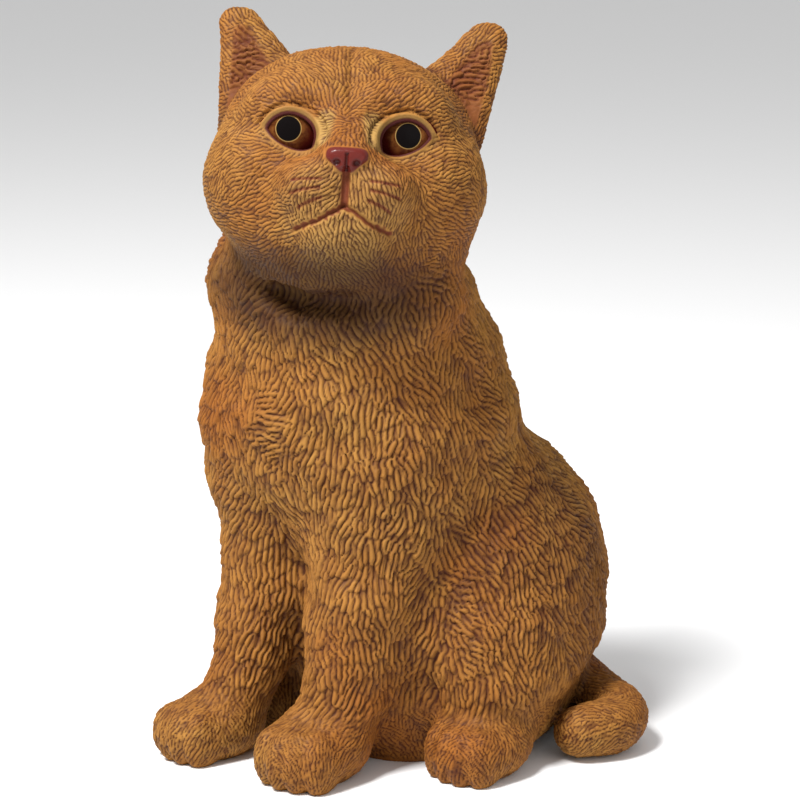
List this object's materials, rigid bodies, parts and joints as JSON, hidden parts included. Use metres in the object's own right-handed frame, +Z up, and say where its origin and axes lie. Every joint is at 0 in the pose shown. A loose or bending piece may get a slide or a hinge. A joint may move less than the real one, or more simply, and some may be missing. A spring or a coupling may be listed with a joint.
{
  "type": "seated cat figurine",
  "caption": "Seated kitten figurine with carved fur, head turned to its left and tipped up, upright ears, forelegs straight and tail curled round its left side.",
  "frame": {"origin": "on the table, under the middle of the figure's bounding box", "axes": "+Z up, the forelegs point to -Y, the kitten's own left side is +X"},
  "size_m": [0.076, 0.0927, 0.1431],
  "materials": {
    "coat": "matt cold-painted ginger, dark wash in the recesses of the carved fur",
    "eye": "gloss black pupil in a brown iris"
  },
  "bodies": {
    "root": {"torso": "coat", "head": "coat", "left_ear": "coat", "right_ear": "coat", "left_eye": "eye", "right_eye": "eye", "left_foreleg": "coat", "right_foreleg": "coat", "left_hind_leg": "coat", "right_hind_leg": "coat", "tail": "coat"}
  },
  "joints": []
}
